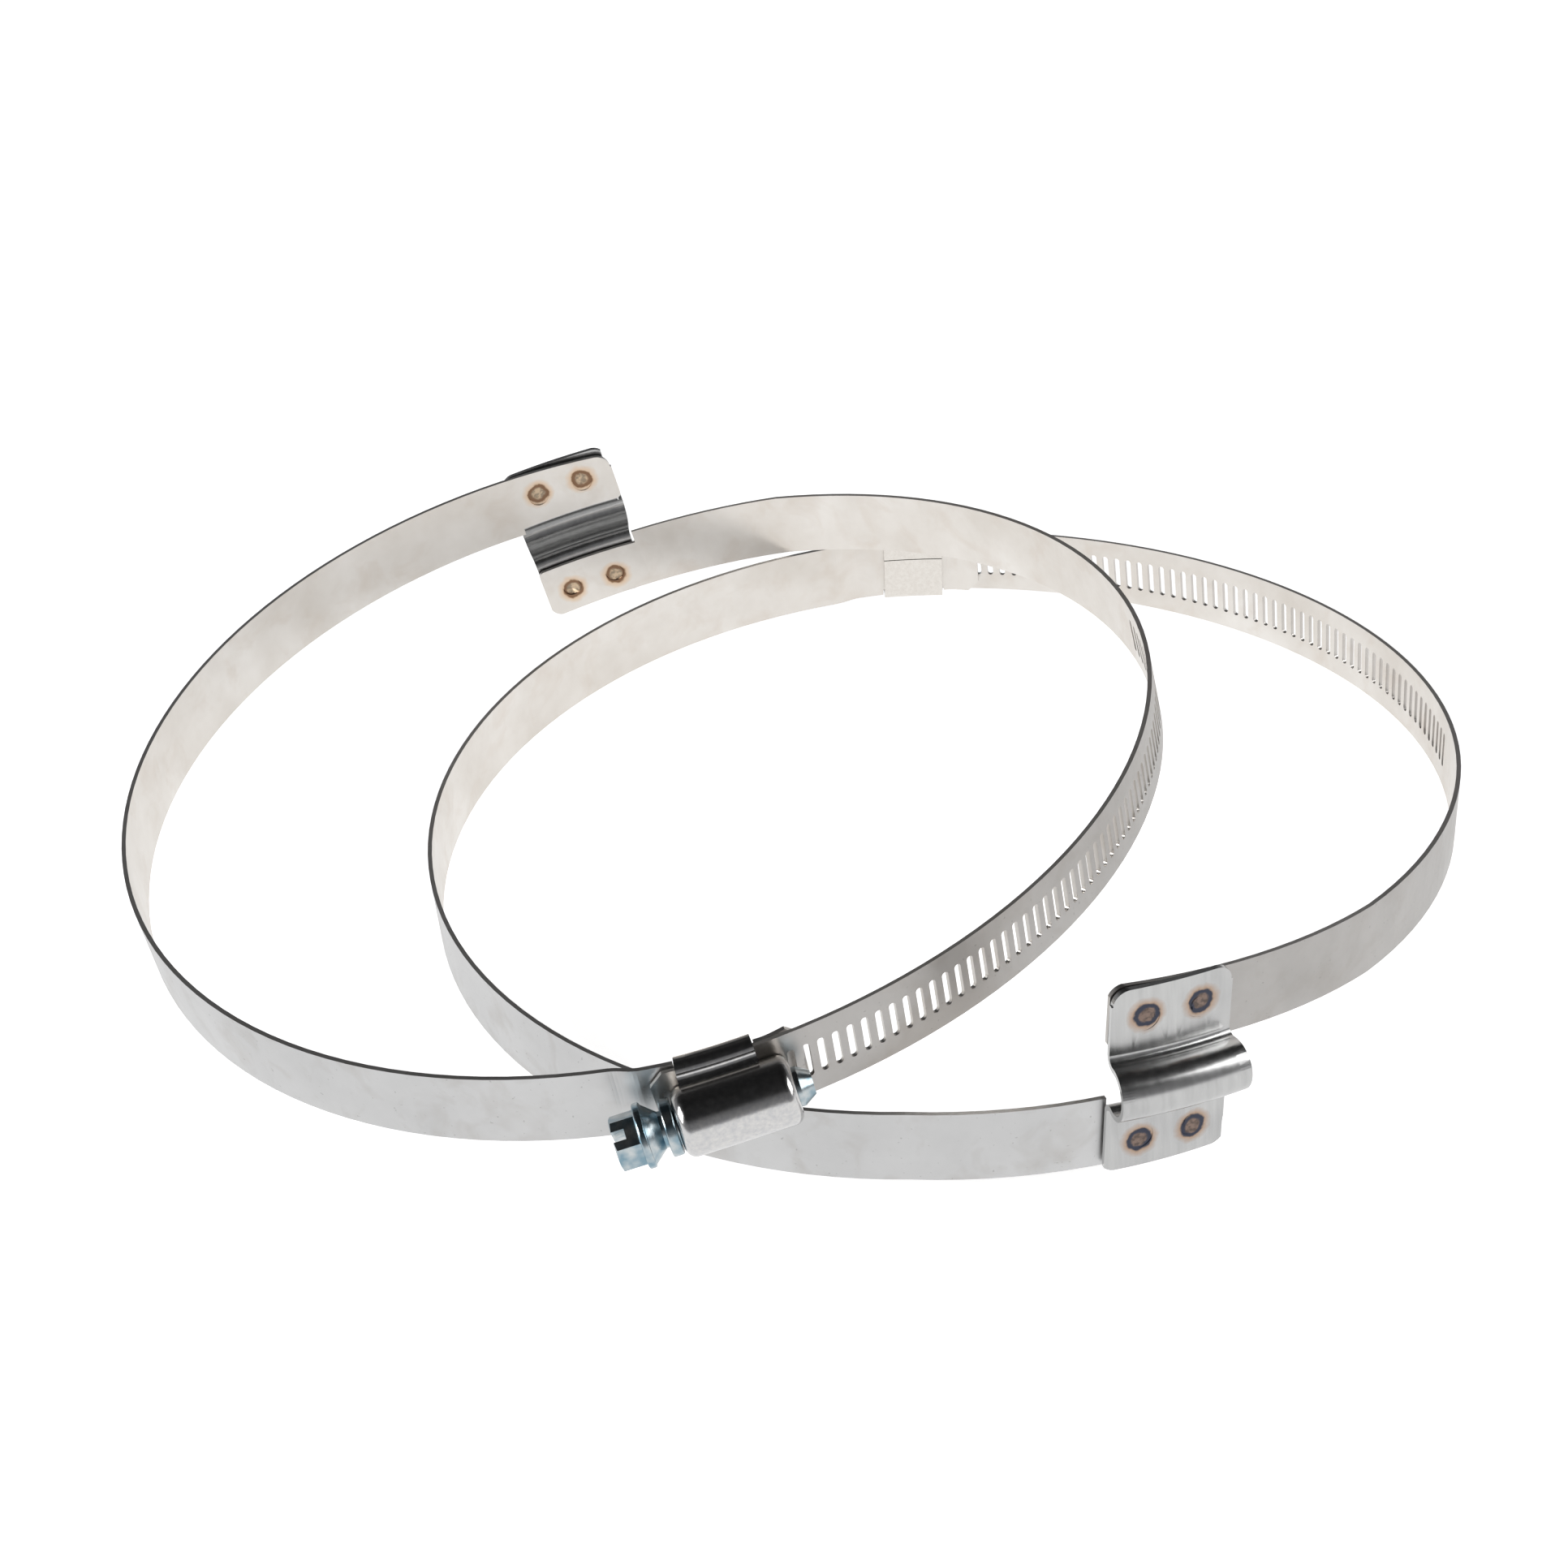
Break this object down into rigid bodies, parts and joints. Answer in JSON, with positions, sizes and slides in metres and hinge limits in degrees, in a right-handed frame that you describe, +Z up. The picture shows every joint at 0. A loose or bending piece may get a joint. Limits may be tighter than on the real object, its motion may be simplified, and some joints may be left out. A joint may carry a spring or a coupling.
{
  "type": "duct clamp, worm-drive bridge pattern",
  "caption": "Stainless worm-drive bridge clamps for wire-wound flexible air duct, one lying across the other; slotted band, screw housing and raised bridge.",
  "frame": {"origin": "centre of the lower clamp's ring, at mid-width of its plain band", "axes": "+Z up, along the lower clamp's ring axis; the lower clamp's screw housing is at +Y (back), the upper clamp's at -Y (front); +X to the right seen from the front"},
  "size_m": [0.2144, 0.1854, 0.0399],
  "materials": {
    "band_steel": "satin",
    "bridge_steel": "satin",
    "housing_steel": "polished",
    "zinc": "satin"
  },
  "bodies": {
    "lower_clamp": {"lower_plain_band": "band_steel", "lower_bridge": "bridge_steel", "lower_housing": "housing_steel"},
    "lower_band": {"lower_slotted_band": "band_steel"},
    "lower_worm": {"lower_screw": "zinc"},
    "upper_clamp": {"upper_plain_band": "band_steel", "upper_bridge": "bridge_steel", "upper_housing": "housing_steel"},
    "upper_band": {"upper_slotted_band": "band_steel"},
    "upper_worm": {"upper_screw": "zinc"}
  },
  "joints": [
    {"name": "lower_tighten", "type": "hinge", "parent": "lower_clamp", "child": "lower_band", "pos_m": [0.00007, 0.00104, 0], "axis": [0.0487, -0.0034, 0.9988], "range_deg": [-5, 5]},
    {"name": "lower_screw_turn", "type": "hinge", "parent": "lower_clamp", "child": "lower_worm", "pos_m": [0.00616, 0.08808, 0], "axis": [-0.9964, 0.0697, 0.0488], "range_deg": [-1171, 1171]},
    {"name": "upper_tighten", "type": "hinge", "parent": "upper_clamp", "child": "upper_band", "pos_m": [-0.04728, 0.00115, 0.01846], "axis": [0.138, 0.0694, -0.988], "range_deg": [-5, 5]},
    {"name": "upper_screw_turn", "type": "hinge", "parent": "upper_clamp", "child": "upper_worm", "pos_m": [-0.0353, -0.08535, 0.01405], "axis": [-0.9809, -0.1284, -0.146], "range_deg": [-1174, 1174]},
    {"name": "upper_lift", "type": "slide", "parent": "lower_clamp", "child": "upper_clamp", "axis": [0, 0, 1], "range_m": [0, 0.15]}
  ],
  "couplings": [
    {"joint": "lower_screw_turn", "follows": "lower_tighten", "ratio": -233.19},
    {"joint": "upper_screw_turn", "follows": "upper_tighten", "ratio": -233.72}
  ]
}
